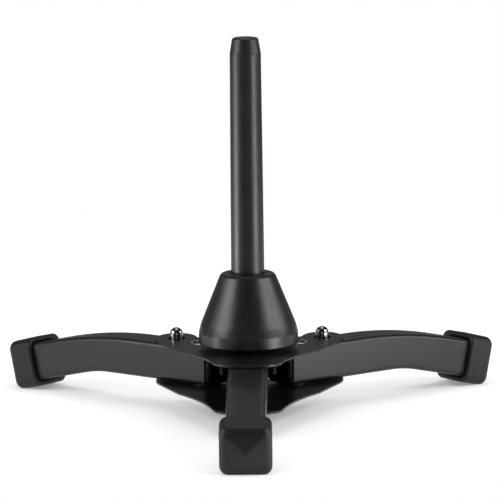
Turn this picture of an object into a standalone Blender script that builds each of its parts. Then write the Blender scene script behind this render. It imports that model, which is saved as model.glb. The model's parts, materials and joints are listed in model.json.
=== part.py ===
"""Folding stand for a woodwind instrument.

A tapered peg stands on a bell cone. Two stamped plates hold three bent square legs with rubber
feet. The front leg is bolted fast, and the side legs swing on pivots and lock with domed buttons.
Metres, +Z up, standing on the floor at z = 0, with the front leg towards -Y and the origin at
the middle of the footprint.
"""

import math

import bmesh
import bpy
from mathutils import Matrix, Vector

MM = 0.001
MERGE = 0.00001

# Clearances
GAP = 0.3 * MM             # between pieces that seat on each other, and round a pin in its hole
BUTTON_PLAY = 0.4 * MM     # between the pressed button and the post and plate it passes
HOLE_OVERSHOOT = 2.0 * MM  # how far a cutter runs past the wall that it cuts

# Legs
LEG_WIDTH = 20.0 * MM
LEG_WALL = 1.6 * MM
LEG_CORNER = 2.6 * MM
LEG_SPREAD = math.radians(127.5)   # angle between the front leg and each side leg
LEG_TILT = math.radians(13.2)      # how steeply a leg falls past its bend
BEND_REACH = 98.6 * MM             # from the stand's axis to the bend of the middle line
LEG_RUN = 54.2 * MM                # from the bend to the tube's outer end
TOP_BEND_RADIUS = 254.0 * MM       # the bend is gentle on top and tight below
BOTTOM_BEND_RADIUS = 73.0 * MM
FRONT_LEG_BACK = 12.0 * MM         # how far the front leg runs back past the stand's axis
SIDE_LEG_ROOT = 22.0 * MM          # from the stand's axis to a side leg's open inner end
ROOT_SLANT = 2.2 * MM              # how much further in a side leg's back wall runs than its front wall

# Rubber feet
FOOT_WALL = 2.9 * MM
FOOT_END_WALL = 4.0 * MM
FOOT_LENGTH = 16.8 * MM
FOOT_ROUNDING = 4.6 * MM
FOOT_CROWN = 1.2 * MM              # height of the shallow pyramid on the end face
SOLE_TRIM = 0.5375 * MM            # rubber cut off below, which gives the foot its flat sole

# Plates
PLATE_THICKNESS = 1.2 * MM
WASHER_THICKNESS = 0.3 * MM
UPPER_FRONT_REACH = 52.8 * MM      # from the stand's axis to the front edge
LOWER_FRONT_REACH = 64.5 * MM
ARM_HALF_WIDTH = 19.0 * MM         # where the scooped side meets the front arm
ARM_LENGTH = 15.8 * MM
ARM_END_HALF_WIDTH = 16.6 * MM
ARM_END_CROWN = 3.2 * MM
ARM_CORNER = 12.5 * MM
SCOOP_RADIUS = 120.0 * MM          # hollow side between a lobe and the front arm
KINK_X = 37.2 * MM                 # outer end of the scooped side
KINK_Y = -6.5 * MM
LOBE_HALF_WIDTH = 11.2 * MM        # lobe round the lock button, an ellipse
LOBE_HALF_LENGTH = 16.5 * MM
BACK_EDGE_HALF = 22.0 * MM         # straight back edge between the lobes
BACK_EDGE_Y = 29.0 * MM
LOBE_END = math.radians(170.0)     # angle on that ellipse where the line to the back edge starts

# Pivots, on the middle line of each side leg
PIVOT_REACH = 28.5 * MM
PIVOT_SHANK_RADIUS = 1.3 * MM
PIVOT_HEAD_RADIUS = 6.4 * MM
PIVOT_HEAD_HEIGHT = 1.2 * MM
PIVOT_RIVET_RADIUS = 2.6 * MM
PIVOT_RIVET_HEIGHT = 1.0 * MM
BUSH_RADIUS = 8.5 * MM
BUSH_WALL = 1.3 * MM
LEG_WASHER_RADIUS = 8.0 * MM
PIVOT_SPRING_RADIUS = 2.0 * MM     # to the middle of the wire
PIVOT_SPRING_PITCH = 1.06 * MM
SPRING_WIRE = 0.6 * MM

# Lock buttons
LOCK_REACH = 48.7 * MM
BUTTON_RADIUS = 3.55 * MM
BUTTON_HEIGHT = 5.9 * MM           # above the upper plate
BUTTON_STRAIGHT = 2.3 * MM         # straight part of that height, below the dome
BUTTON_FLANGE_RADIUS = 4.6 * MM
BUTTON_FLANGE_HEIGHT = 1.2 * MM
BUTTON_BORE_RADIUS = 1.9 * MM
BUTTON_TOP_WALL = 1.4 * MM
LOCK_HOLE_RADIUS = 4.65 * MM
SEAT_HEIGHT = 1.0 * MM
SEAT_POST_RADIUS = 1.5 * MM
LOCK_SPRING_RADIUS = 2.9 * MM
LOCK_SPRING_TURNS = 5

# Stops that the folded side legs come to rest against
STOP_X = 13.3 * MM
STOP_Y = -36.0 * MM
STOP_RADIUS = 1.2 * MM
STOP_SHANK_RADIUS = 0.9 * MM
STOP_LENGTH = 6.0 * MM

# Bell cone
CONE_RADIUS = 26.0 * MM
CONE_HEIGHT = 37.4 * MM
CONE_LIFT = 2.6 * MM               # dark gap between the plate and the cone's rim
CONE_BAND = 6.3 * MM
CONE_BREAK_RADIUS = 25.05 * MM     # where the band's slight taper turns into the cone
CONE_BREAK_HEIGHT = 10.3 * MM
CONE_BREAK_ROUNDING = 18.0 * MM
CONE_TOP_RADIUS = 14.1 * MM        # of the top face, were its shoulder sharp
CONE_SHOULDER = 3.0 * MM
CONE_WALL = 2.4 * MM
CONE_ROOF = 5.0 * MM
CONE_BOSS_RADIUS = 7.5 * MM

# Peg and its cap
PEG_FOOT_RADIUS = 8.75 * MM
PEG_TOP_RADIUS = 8.1 * MM
PEG_WALL = 2.2 * MM
PEG_LENGTH = 115.4 * MM            # above the cone
PEG_SINK = 2.4 * MM                # depth of the recess in the cone's top
PEG_WEB = 3.0 * MM
CAP_HEIGHT = 8.6 * MM
CAP_SHOULDER_HEIGHT = 7.9 * MM
CAP_SHOULDER_RADIUS = 6.75 * MM
CAP_ROUNDING = 1.4 * MM
CAP_PLUG_LENGTH = 6.5 * MM

# Centre fastening
BOLT_RADIUS = 3.0 * MM
BOLT_HEAD_RADIUS = 5.8 * MM        # across the hexagon's corners
BOLT_HEAD_HEIGHT = 3.6 * MM
BOLT_TIP_PLAY = 1.9 * MM           # between the bolt's tip and the end of its insert
BOLT_WASHER_RADIUS = 6.5 * MM
BOLT_WASHER_HEIGHT = 1.0 * MM
SLEEVE_WALL = 1.7 * MM
INSERT_WALL = 0.9 * MM
INSERT_LENGTH = 15.5 * MM

# Screws that hold the front leg down on the lower plate
SCREW_REACHES = (30.0 * MM, 47.0 * MM)
SCREW_RADIUS = 1.5 * MM
SCREW_HEAD_RADIUS = 3.2 * MM
SCREW_HEAD_HEIGHT = 1.7 * MM
SCREW_TIP_PLAY = 0.6 * MM          # how far the screw stands out above its nut
NUT_RADIUS = 3.2 * MM
NUT_HEIGHT = 2.2 * MM
SHIM_RADIUS = 4.0 * MM

# Heights of the stack, worked out from the feet up
FOOT_HALF = LEG_WIDTH / 2 + GAP + FOOT_WALL
FOOT_END = LEG_RUN + GAP + FOOT_END_WALL    # from the bend to the foot's end face
LEG_MIDDLE = (
    (FOOT_END - FOOT_ROUNDING) * math.sin(LEG_TILT)
    + (FOOT_HALF - FOOT_ROUNDING) * math.cos(LEG_TILT)
    + FOOT_ROUNDING
    - SOLE_TRIM
)
LEG_BOTTOM = LEG_MIDDLE - LEG_WIDTH / 2
LEG_TOP = LEG_MIDDLE + LEG_WIDTH / 2
LEG_FLOOR = LEG_BOTTOM + LEG_WALL
LEG_ROOF = LEG_TOP - LEG_WALL
WASHER_BOTTOM = LEG_BOTTOM - GAP - WASHER_THICKNESS
LOWER_PLATE_TOP = WASHER_BOTTOM - GAP
LOWER_PLATE_BOTTOM = LOWER_PLATE_TOP - PLATE_THICKNESS
UPPER_PLATE_BOTTOM = LEG_TOP + GAP
UPPER_PLATE_TOP = UPPER_PLATE_BOTTOM + PLATE_THICKNESS
CONE_BOTTOM = UPPER_PLATE_TOP + CONE_LIFT
CONE_TOP = CONE_BOTTOM + CONE_HEIGHT
PEG_FOOT = CONE_TOP - PEG_SINK + GAP
PEG_TOP = CONE_TOP + PEG_LENGTH
INSERT_BOTTOM = PEG_FOOT + GAP
INSERT_TOP = INSERT_BOTTOM + INSERT_LENGTH
BOLT_TIP = INSERT_TOP - BOLT_TIP_PLAY

# Places that several pieces share
LOBE_CENTRE_X = LOCK_REACH * math.sin(math.pi - LEG_SPREAD)
LOBE_CENTRE_Y = LOCK_REACH * math.cos(math.pi - LEG_SPREAD)
PIVOT_X = PIVOT_REACH * math.sin(math.pi - LEG_SPREAD)
PIVOT_Y = PIVOT_REACH * math.cos(math.pi - LEG_SPREAD)
BOLT_HOLE_RADIUS = BOLT_RADIUS + GAP
PIVOT_HOLE_RADIUS = PIVOT_SHANK_RADIUS + GAP
BUSH_HOLE_RADIUS = BUSH_RADIUS + GAP
SCREW_HOLE_RADIUS = SCREW_RADIUS + GAP
SLEEVE_RADIUS = BOLT_HOLE_RADIUS + SLEEVE_WALL
INSERT_RADIUS = BOLT_HOLE_RADIUS + INSERT_WALL

# Lock button, from its bore up to its dome, and how far it has to sink to free the leg
BUTTON_TOP = UPPER_PLATE_TOP + BUTTON_HEIGHT
BUTTON_BORE_TOP = BUTTON_TOP - BUTTON_TOP_WALL
BUTTON_TRAVEL = BUTTON_TOP - (UPPER_PLATE_BOTTOM - BUTTON_PLAY)
FLANGE_TOP = LEG_ROOF - GAP
FLANGE_BOTTOM = FLANGE_TOP - BUTTON_FLANGE_HEIGHT
SEAT_BOTTOM = LEG_FLOOR + GAP
SEAT_TOP = SEAT_BOTTOM + SEAT_HEIGHT
SEAT_POST_TOP = BUTTON_BORE_TOP - BUTTON_TRAVEL - BUTTON_PLAY

# Where the bends of a leg's top and bottom lines lie, as distances from the stand's axis
TOP_VERTEX = BEND_REACH + LEG_WIDTH / 2 * math.tan(LEG_TILT / 2)
BOTTOM_VERTEX = BEND_REACH - LEG_WIDTH / 2 * math.tan(LEG_TILT / 2)
TOP_BEND_START = TOP_VERTEX - TOP_BEND_RADIUS * math.tan(LEG_TILT / 2)
TOP_BEND_END = TOP_BEND_START + TOP_BEND_RADIUS * math.sin(LEG_TILT)
LEG_END = BEND_REACH + LEG_RUN * math.cos(LEG_TILT) + LEG_WIDTH / 2 * math.sin(LEG_TILT)

# Facets: steps round a turned piece, along arcs, along a leg's bend and over rounded edges
ROUND_STEPS = 36
SMALL_STEPS = 20
ARC_STEP = math.radians(12.0)
CURL_POINTS = 8
BEND_STATIONS = 9
LEG_CORNER_STEPS = 2
FOOT_EDGE_STEPS = 3
SHARP_ANGLE = math.radians(35.0)
SECTION_PASSES = 20                # rounds in which a slanted section's depth settles


def clear_scene():
    """Remove whatever the scene holds."""
    for item in list(bpy.data.objects):
        bpy.data.objects.remove(item, do_unlink=True)


def new_collection(name):
    """Add a collection to the scene."""
    collection = bpy.data.collections.new(name)
    bpy.context.scene.collection.children.link(collection)
    return collection


def new_material(name, colour, roughness, metallic=0.0):
    """Make a plain Principled material."""
    material = bpy.data.materials.new(name)
    material.use_nodes = True
    shader = material.node_tree.nodes["Principled BSDF"]
    shader.inputs["Base Color"].default_value = (*colour, 1.0)
    shader.inputs["Roughness"].default_value = roughness
    shader.inputs["Metallic"].default_value = metallic
    return material


clear_scene()
STAND = new_collection("woodwind_stand")
CUTTERS = new_collection("cutters")


def add_part(name, data, material, parent):
    """Put a mesh or a curve in the stand's collection as one named part."""
    part = bpy.data.objects.new(name, data)
    part.data.materials.append(material)
    part.parent = parent
    STAND.objects.link(part)
    return part


def add_frame(name, parent=None, place=(0.0, 0.0, 0.0), heading=0.0):
    """Add an empty, turned by its heading about Z, for pieces to hang from."""
    frame = bpy.data.objects.new(name, None)
    frame.parent = parent
    frame.location = place
    frame.rotation_euler = (0.0, 0.0, heading)
    STAND.objects.link(frame)
    return frame


def add_cutter(name, data, parent, place=(0.0, 0.0, 0.0)):
    """Add a hidden solid that Boolean modifiers use."""
    cutter = bpy.data.objects.new(name, data)
    cutter.parent = parent
    cutter.location = place
    cutter.hide_render = True
    cutter.display_type = "WIRE"
    CUTTERS.objects.link(cutter)
    return cutter


def boolean(part, other, operation="DIFFERENCE"):
    """Cut or join a part with another solid."""
    modifier = part.modifiers.new(operation.lower(), "BOOLEAN")
    modifier.operation = operation
    modifier.solver = "EXACT"
    modifier.object = other


def mesh_from(name, work):
    """Turn a bmesh into a mesh with smooth faces and sharp edges."""
    mesh = bpy.data.meshes.new(name)
    work.to_mesh(mesh)
    work.free()
    mesh.shade_smooth()
    mesh.set_sharp_from_angle(angle=SHARP_ANGLE)
    return mesh


def cylinder_mesh(name, radius, bottom, top, sides=SMALL_STEPS):
    """A cylinder, or a prism with few sides, between two heights."""
    work = bmesh.new()
    middle = Matrix.Translation((0.0, 0.0, (bottom + top) / 2))
    bmesh.ops.create_cone(
        work, cap_ends=True, segments=sides, radius1=radius, radius2=radius, depth=top - bottom,
        matrix=middle
    )
    return mesh_from(name, work)


def turned_mesh(name, profile, closed):
    """A profile of (radius, height) points as edges at +X, for a Screw modifier."""
    work = bmesh.new()
    points = [work.verts.new((radius, 0.0, height)) for radius, height in profile]
    for first, second in zip(points, points[1:]):
        work.edges.new((first, second))
    if closed:
        work.edges.new((points[-1], points[0]))
    mesh = bpy.data.meshes.new(name)
    work.to_mesh(mesh)
    work.free()
    return mesh


def turn(part, steps):
    """Sweep a profile round the part's Z axis."""
    screw = part.modifiers.new("turn", "SCREW")
    screw.axis = "Z"
    screw.angle = math.tau
    screw.steps = steps
    screw.render_steps = steps
    screw.use_merge_vertices = True
    screw.merge_threshold = MERGE
    screw.use_smooth_shade = True


def add_turned(name, profile, material, parent, steps=SMALL_STEPS, closed=False):
    """Add a turned part whose profile starts and ends on the axis, or is a closed loop."""
    part = add_part(name, turned_mesh(name, profile, closed), material, parent)
    turn(part, steps)
    return part


def ring_profile(inner, outer, bottom, top):
    """Closed profile of a plain ring, down its outer side."""
    return [(inner, top), (outer, top), (outer, bottom), (inner, bottom)]


def arc(centre, radii, start, end):
    """Points along part of a circle or an ellipse, both ends included."""
    steps = max(2, round(abs(end - start) / ARC_STEP))
    points = []
    for step in range(steps + 1):
        angle = start + (end - start) * step / steps
        points.append((centre[0] + radii[0] * math.cos(angle), centre[1] + radii[1] * math.sin(angle)))
    return points


def rounded(corner, before, after, radius):
    """Points of a fillet of the given radius on a corner of an outline."""
    tip = Vector(corner)
    towards_before = (Vector(before) - tip).normalized()
    towards_after = (Vector(after) - tip).normalized()
    half = towards_before.angle(towards_after) / 2
    middle = tip + (towards_before + towards_after).normalized() * radius / math.sin(half)
    first = tip + towards_before * radius / math.tan(half) - middle
    last = tip + towards_after * radius / math.tan(half) - middle
    start = math.atan2(first.y, first.x)
    turned = first.angle_signed(last)
    return arc(middle, (radius, radius), start, start - turned)


def tangent_angle(centre, radii, point):
    """Angle on an ellipse at which a line from a point outside it touches its right side."""
    across = (point[0] - centre[0]) / radii[0]
    along = (point[1] - centre[1]) / radii[1]
    return math.atan2(along, across) + math.acos(1.0 / math.hypot(across, along))


def scooped_side(start, end, radius):
    """Arc that is hollow towards the outside, from the front arm out to the kink."""
    first = Vector(start)
    last = Vector(end)
    chord = last - first
    rise = math.sqrt(radius ** 2 - (chord.length / 2) ** 2)
    centre = (first + last) / 2 + Vector((chord.y, -chord.x)).normalized() * rise
    from_angle = math.atan2(first.y - centre.y, first.x - centre.x)
    to_angle = math.atan2(last.y - centre.y, last.x - centre.x)
    return arc(centre, (radius, radius), from_angle, to_angle)


def plate_outline(front_reach):
    """Outline of a plate: front arm, scooped sides, and a lobe over each side leg."""
    front = (0.0, -front_reach)
    arm_end = (ARM_END_HALF_WIDTH, ARM_END_CROWN - front_reach)
    arm_root = (ARM_HALF_WIDTH, ARM_LENGTH - front_reach)
    kink = (KINK_X, KINK_Y)
    lobe = (LOBE_CENTRE_X, LOBE_CENTRE_Y)
    lobe_radii = (LOBE_HALF_WIDTH, LOBE_HALF_LENGTH)
    right = [front]
    right += rounded(arm_end, front, arm_root, ARM_CORNER)
    right += scooped_side(arm_root, kink, SCOOP_RADIUS)
    right += arc(lobe, lobe_radii, tangent_angle(lobe, lobe_radii, kink), LOBE_END)
    right.append((BACK_EDGE_HALF, BACK_EDGE_Y))
    left = [(-x, y) for x, y in reversed(right[1:])]
    return right + left


def circle(place, radius, steps=SMALL_STEPS):
    """Points of a round hole."""
    turn_step = math.tau / steps
    return [
        (place[0] + radius * math.cos(turn_step * step), place[1] + radius * math.sin(turn_step * step))
        for step in range(steps)
    ]


def add_plate(name, outline, holes, bottom, material, parent):
    """Add a flat plate cut from its outline and its holes."""
    curve = bpy.data.curves.new(name, "CURVE")
    curve.dimensions = "2D"
    curve.fill_mode = "BOTH"
    curve.extrude = PLATE_THICKNESS / 2
    for points in [outline] + holes:
        spline = curve.splines.new("POLY")
        spline.points.add(len(points) - 1)
        spline.use_cyclic_u = True
        for index, (x, y) in enumerate(points):
            spline.points[index].co = (x, y, 0.0, 1.0)
    plate = add_part(name, curve, material, parent)
    plate.location.z = bottom + PLATE_THICKNESS / 2
    return plate


def square_section(half_width, half_height, corner):
    """Rounded rectangle across a leg, as (side, height) points."""
    inner_width = half_width - corner
    inner_height = half_height - corner
    points = []
    for quarter, (side, up) in enumerate(((1, 1), (-1, 1), (-1, -1), (1, -1))):
        start = quarter * math.pi / 2
        for step in range(LEG_CORNER_STEPS + 1):
            angle = start + step * math.pi / 2 / LEG_CORNER_STEPS
            points.append(
                (side * inner_width + corner * math.cos(angle), up * inner_height + corner * math.sin(angle))
            )
    return points


def fall(run, vertex, radius):
    """How far a leg's top or bottom line has fallen at a distance from the stand's axis."""
    start = vertex - radius * math.tan(LEG_TILT / 2)
    end = start + radius * math.sin(LEG_TILT)
    if run <= start:
        return 0.0
    if run <= end:
        return radius - math.sqrt(radius ** 2 - (run - start) ** 2)
    return (run - vertex) * math.tan(LEG_TILT)


def leg_section(run):
    """Middle point, lean and half height of the leg's section whose top edge is at this distance."""
    lean = math.asin(min(max((run - TOP_BEND_START) / TOP_BEND_RADIUS, 0.0), math.sin(LEG_TILT)))
    top = Vector((run, LEG_TOP - fall(run, TOP_VERTEX, TOP_BEND_RADIUS)))
    down = Vector((-math.sin(lean), -math.cos(lean)))
    depth = LEG_WIDTH
    for _ in range(SECTION_PASSES):
        below = top + down * depth
        depth += (below.y - LEG_BOTTOM + fall(below.x, BOTTOM_VERTEX, BOTTOM_BEND_RADIUS)) / math.cos(lean)
    return top + down * depth / 2, lean, depth / 2


def leg_mesh(name, root, origin, slant):
    """Open tube from its root, flat between the plates, over the bend and down into the foot.

    The slant is how much further in the +Y wall runs than the other; below zero it is the -Y wall.
    """
    bend = TOP_BEND_END - TOP_BEND_START
    runs = [root] + [TOP_BEND_START + bend * step / BEND_STATIONS for step in range(BEND_STATIONS + 1)]
    runs.append(LEG_END)
    work = bmesh.new()
    rings = []
    for run in runs:
        middle, lean, half_height = leg_section(run)
        ring = []
        for side, height in square_section(LEG_WIDTH / 2, half_height, LEG_CORNER):
            x = middle.x + height * math.sin(lean) - origin
            if run == root:
                x -= abs(slant) / 2 + slant * side / LEG_WIDTH
            ring.append(work.verts.new((x, side, middle.y + height * math.cos(lean))))
        rings.append([work.edges.new((ring[i], ring[(i + 1) % len(ring)])) for i in range(len(ring))])
    for first, second in zip(rings, rings[1:]):
        bmesh.ops.bridge_loops(work, edges=first + second)
    bmesh.ops.recalc_face_normals(work, faces=work.faces)
    return mesh_from(name, work)


def add_leg(name, root, origin, holes, material, parent, slant=0.0):
    """Add a leg tube and cut its round holes, given as (reach, radius, bottom, top)."""
    leg = add_part(name, leg_mesh(name, root, origin, slant), material, parent)
    shell = leg.modifiers.new("wall", "SOLIDIFY")
    shell.thickness = LEG_WALL
    shell.offset = -1.0
    shell.use_even_offset = True
    for number, (reach, radius, bottom, top) in enumerate(holes, start=1):
        cutter_name = f"{name}_hole_{number}"
        drill = cylinder_mesh(cutter_name, radius, bottom, top)
        boolean(leg, add_cutter(cutter_name, drill, parent, (reach - origin, 0.0, 0.0)))
    return leg


def wall_hole(reach, radius, bottom, top):
    """A drilled hole that runs past both faces of a wall."""
    return (reach, radius, bottom - HOLE_OVERSHOOT, top + HOLE_OVERSHOOT)


def foot_mesh():
    """Rounded rubber block along +X, its end face raised to a shallow pyramid."""
    work = bmesh.new()
    size = Matrix.Diagonal((FOOT_LENGTH, 2 * FOOT_HALF, 2 * FOOT_HALF, 1.0))
    place = Matrix.Translation((FOOT_END - FOOT_LENGTH / 2, 0.0, 0.0))
    bmesh.ops.create_cube(work, size=1.0, matrix=place @ size)
    bmesh.ops.bevel(
        work, geom=list(work.edges), offset=FOOT_ROUNDING, segments=FOOT_EDGE_STEPS, profile=0.5,
        affect="EDGES"
    )
    end_face = max(work.faces, key=lambda face: face.calc_center_median().x)
    apex = bmesh.ops.poke(work, faces=[end_face])["verts"][0]
    apex.co.x += FOOT_CROWN
    return mesh_from("foot", work)


def socket_mesh():
    """Rounded square hollow that the leg's end goes into."""
    work = bmesh.new()
    ring = []
    half = LEG_WIDTH / 2 + GAP
    mouth = FOOT_END - FOOT_LENGTH - HOLE_OVERSHOOT
    for side, height in square_section(half, half, LEG_CORNER + GAP):
        ring.append(work.verts.new((mouth, side, height)))
    bottom_face = work.faces.new(ring)
    block = bmesh.ops.extrude_face_region(work, geom=[bottom_face])
    moved = [item for item in block["geom"] if isinstance(item, bmesh.types.BMVert)]
    depth = FOOT_END - FOOT_END_WALL - mouth
    bmesh.ops.translate(work, verts=moved, vec=(depth, 0.0, 0.0))
    bmesh.ops.recalc_face_normals(work, faces=work.faces)
    return mesh_from("socket", work)


def floor_mesh():
    """Block below the floor, which trims the feet flat."""
    work = bmesh.new()
    reach = 2 * (BEND_REACH + FOOT_END)
    thickness = SOLE_TRIM + HOLE_OVERSHOOT
    size = Matrix.Diagonal((2 * reach, 2 * reach, thickness, 1.0))
    place = Matrix.Translation((0.0, 0.0, -thickness / 2))
    bmesh.ops.create_cube(work, size=1.0, matrix=place @ size)
    return mesh_from("floor", work)


def add_foot(name, material, parent, origin, shared):
    """Add a rubber foot, pushed over the leg's end and flat below."""
    foot = add_part(name, shared["foot"], material, parent)
    foot.location = (BEND_REACH - origin, 0.0, LEG_MIDDLE)
    foot.rotation_euler = (0.0, LEG_TILT, 0.0)
    boolean(foot, add_cutter(f"{name}_socket", shared["socket"], foot))
    boolean(foot, shared["floor"])
    return foot


def helix(radius, bottom, top, turns):
    """Points of a coil whose ends run straight along the axis for one wire diameter."""
    low = bottom + SPRING_WIRE
    high = top - SPRING_WIRE
    count = round(turns * CURL_POINTS)
    points = [Vector((radius, 0.0, bottom))]
    for step in range(count + 1):
        angle = math.tau * step / CURL_POINTS
        height = low + (high - low) * step / count
        points.append(Vector((radius * math.cos(angle), radius * math.sin(angle), height)))
    points.append(Vector((points[-1].x, points[-1].y, top)))
    return points


def self_gap(points):
    """Least clear distance between one curl of a coil and the next."""
    nearest = min(
        (points[i] - points[j]).length
        for i in range(len(points))
        for j in range(i + CURL_POINTS // 2, len(points))
    )
    return nearest - SPRING_WIRE


def add_spring(name, points, material, parent, reach):
    """Add a coil of wire as one unbroken tube."""
    curve = bpy.data.curves.new(name, "CURVE")
    curve.dimensions = "3D"
    curve.bevel_depth = SPRING_WIRE / 2
    curve.bevel_resolution = 1
    curve.use_fill_caps = True
    spline = curve.splines.new("POLY")
    spline.points.add(len(points) - 1)
    for index, point in enumerate(points):
        spline.points[index].co = (*point, 1.0)
    spring = add_part(name, curve, material, parent)
    spring.location.x = reach
    print(f"{name}: least gap to itself {self_gap(points) / MM:.2f} mm")
    return spring


def cone_outer_profile():
    """Outer side of the bell cone, from its flat top down to its rim."""
    top_edge = (PEG_FOOT_RADIUS + GAP, CONE_TOP)
    shoulder = (CONE_TOP_RADIUS, CONE_TOP)
    cone_break = (CONE_BREAK_RADIUS, CONE_BOTTOM + CONE_BREAK_HEIGHT)
    band_top = (CONE_RADIUS, CONE_BOTTOM + CONE_BAND)
    profile = [top_edge]
    profile += rounded(shoulder, top_edge, cone_break, CONE_SHOULDER)
    profile += rounded(cone_break, shoulder, band_top, CONE_BREAK_ROUNDING)
    profile += [band_top, (CONE_RADIUS, CONE_BOTTOM)]
    return profile


def add_bell_cone(material, parent):
    """Hollow moulding with a boss inside that stands on the upper plate."""
    roof = CONE_TOP - CONE_ROOF
    slope = (CONE_BREAK_RADIUS - CONE_TOP_RADIUS) / (CONE_HEIGHT - CONE_BREAK_HEIGHT)
    inner_roof_radius = CONE_TOP_RADIUS + slope * CONE_ROOF - CONE_WALL
    profile = cone_outer_profile()
    profile += [
        (CONE_RADIUS - CONE_WALL, CONE_BOTTOM),
        (CONE_RADIUS - CONE_WALL, CONE_BOTTOM + CONE_BAND),
        (CONE_BREAK_RADIUS - CONE_WALL, CONE_BOTTOM + CONE_BREAK_HEIGHT),
        (inner_roof_radius, roof),
        (CONE_BOSS_RADIUS, roof),
        (CONE_BOSS_RADIUS, UPPER_PLATE_TOP + GAP),
        (BOLT_HOLE_RADIUS, UPPER_PLATE_TOP + GAP),
        (BOLT_HOLE_RADIUS, CONE_TOP - PEG_SINK),
        (PEG_FOOT_RADIUS + GAP, CONE_TOP - PEG_SINK),
    ]
    return add_turned("bell_cone", profile, material, parent, ROUND_STEPS, closed=True)


def add_peg(material, parent):
    """Tapered tube, open on top, with a socket below for the threaded insert."""
    socket_top = INSERT_TOP + GAP
    web_top = socket_top + PEG_WEB
    bore = PEG_TOP_RADIUS - PEG_WALL
    profile = [
        (0.0, web_top),
        (bore, web_top),
        (bore, PEG_TOP - GAP),
        (PEG_TOP_RADIUS, PEG_TOP - GAP),
        (PEG_FOOT_RADIUS, PEG_FOOT),
        (INSERT_RADIUS + GAP, PEG_FOOT),
        (INSERT_RADIUS + GAP, socket_top),
        (0.0, socket_top),
    ]
    return add_turned("peg_tube", profile, material, parent, ROUND_STEPS)


def add_cap(material, parent):
    """Chamfered cap with a plug that goes down into the peg."""
    top = PEG_TOP + CAP_HEIGHT
    crown = (0.0, top)
    shoulder = (CAP_SHOULDER_RADIUS, PEG_TOP + CAP_SHOULDER_HEIGHT)
    rim = (PEG_TOP_RADIUS, PEG_TOP)
    plug = PEG_TOP_RADIUS - PEG_WALL - GAP
    profile = [crown]
    profile += rounded(shoulder, crown, rim, CAP_ROUNDING)
    profile += [rim, (plug, PEG_TOP), (plug, PEG_TOP - CAP_PLUG_LENGTH), (0.0, PEG_TOP - CAP_PLUG_LENGTH)]
    return add_turned("peg_cap", profile, material, parent, ROUND_STEPS)


def add_pivot_pin(name, material, parent):
    """Rivet through the leg, with a low dome inside the bush and a closed head underneath."""
    head = LEG_TOP + GAP
    rivet = LOWER_PLATE_BOTTOM - GAP
    profile = arc((0.0, head), (PIVOT_HEAD_RADIUS, PIVOT_HEAD_HEIGHT), math.pi / 2, 0.0)
    profile[0] = (0.0, head + PIVOT_HEAD_HEIGHT)
    profile += [
        (PIVOT_SHANK_RADIUS, head),
        (PIVOT_SHANK_RADIUS, rivet),
        (PIVOT_RIVET_RADIUS, rivet),
        (PIVOT_RIVET_RADIUS, rivet - PIVOT_RIVET_HEIGHT),
        (0.0, rivet - PIVOT_RIVET_HEIGHT),
    ]
    return add_turned(name, profile, material, parent)


def add_lock_button(name, material, parent):
    """Domed button, flanged inside the leg and bored from below for its guide post."""
    dome_bottom = UPPER_PLATE_TOP + BUTTON_STRAIGHT
    dome_height = BUTTON_TOP - dome_bottom
    profile = arc((0.0, dome_bottom), (BUTTON_RADIUS, dome_height), math.pi / 2, 0.0)
    profile[0] = (0.0, BUTTON_TOP)
    profile += [
        (BUTTON_RADIUS, FLANGE_TOP),
        (BUTTON_FLANGE_RADIUS, FLANGE_TOP),
        (BUTTON_FLANGE_RADIUS, FLANGE_BOTTOM),
        (BUTTON_BORE_RADIUS, FLANGE_BOTTOM),
        (BUTTON_BORE_RADIUS, BUTTON_BORE_TOP),
        (0.0, BUTTON_BORE_TOP),
    ]
    return add_turned(name, profile, material, parent)


def add_lock_seat(name, material, parent):
    """Seat on the leg's floor with the post that guides the button."""
    profile = [
        (0.0, SEAT_POST_TOP),
        (SEAT_POST_RADIUS, SEAT_POST_TOP),
        (SEAT_POST_RADIUS, SEAT_TOP),
        (BUTTON_FLANGE_RADIUS, SEAT_TOP),
        (BUTTON_FLANGE_RADIUS, SEAT_BOTTOM),
        (0.0, SEAT_BOTTOM),
    ]
    return add_turned(name, profile, material, parent)


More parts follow.
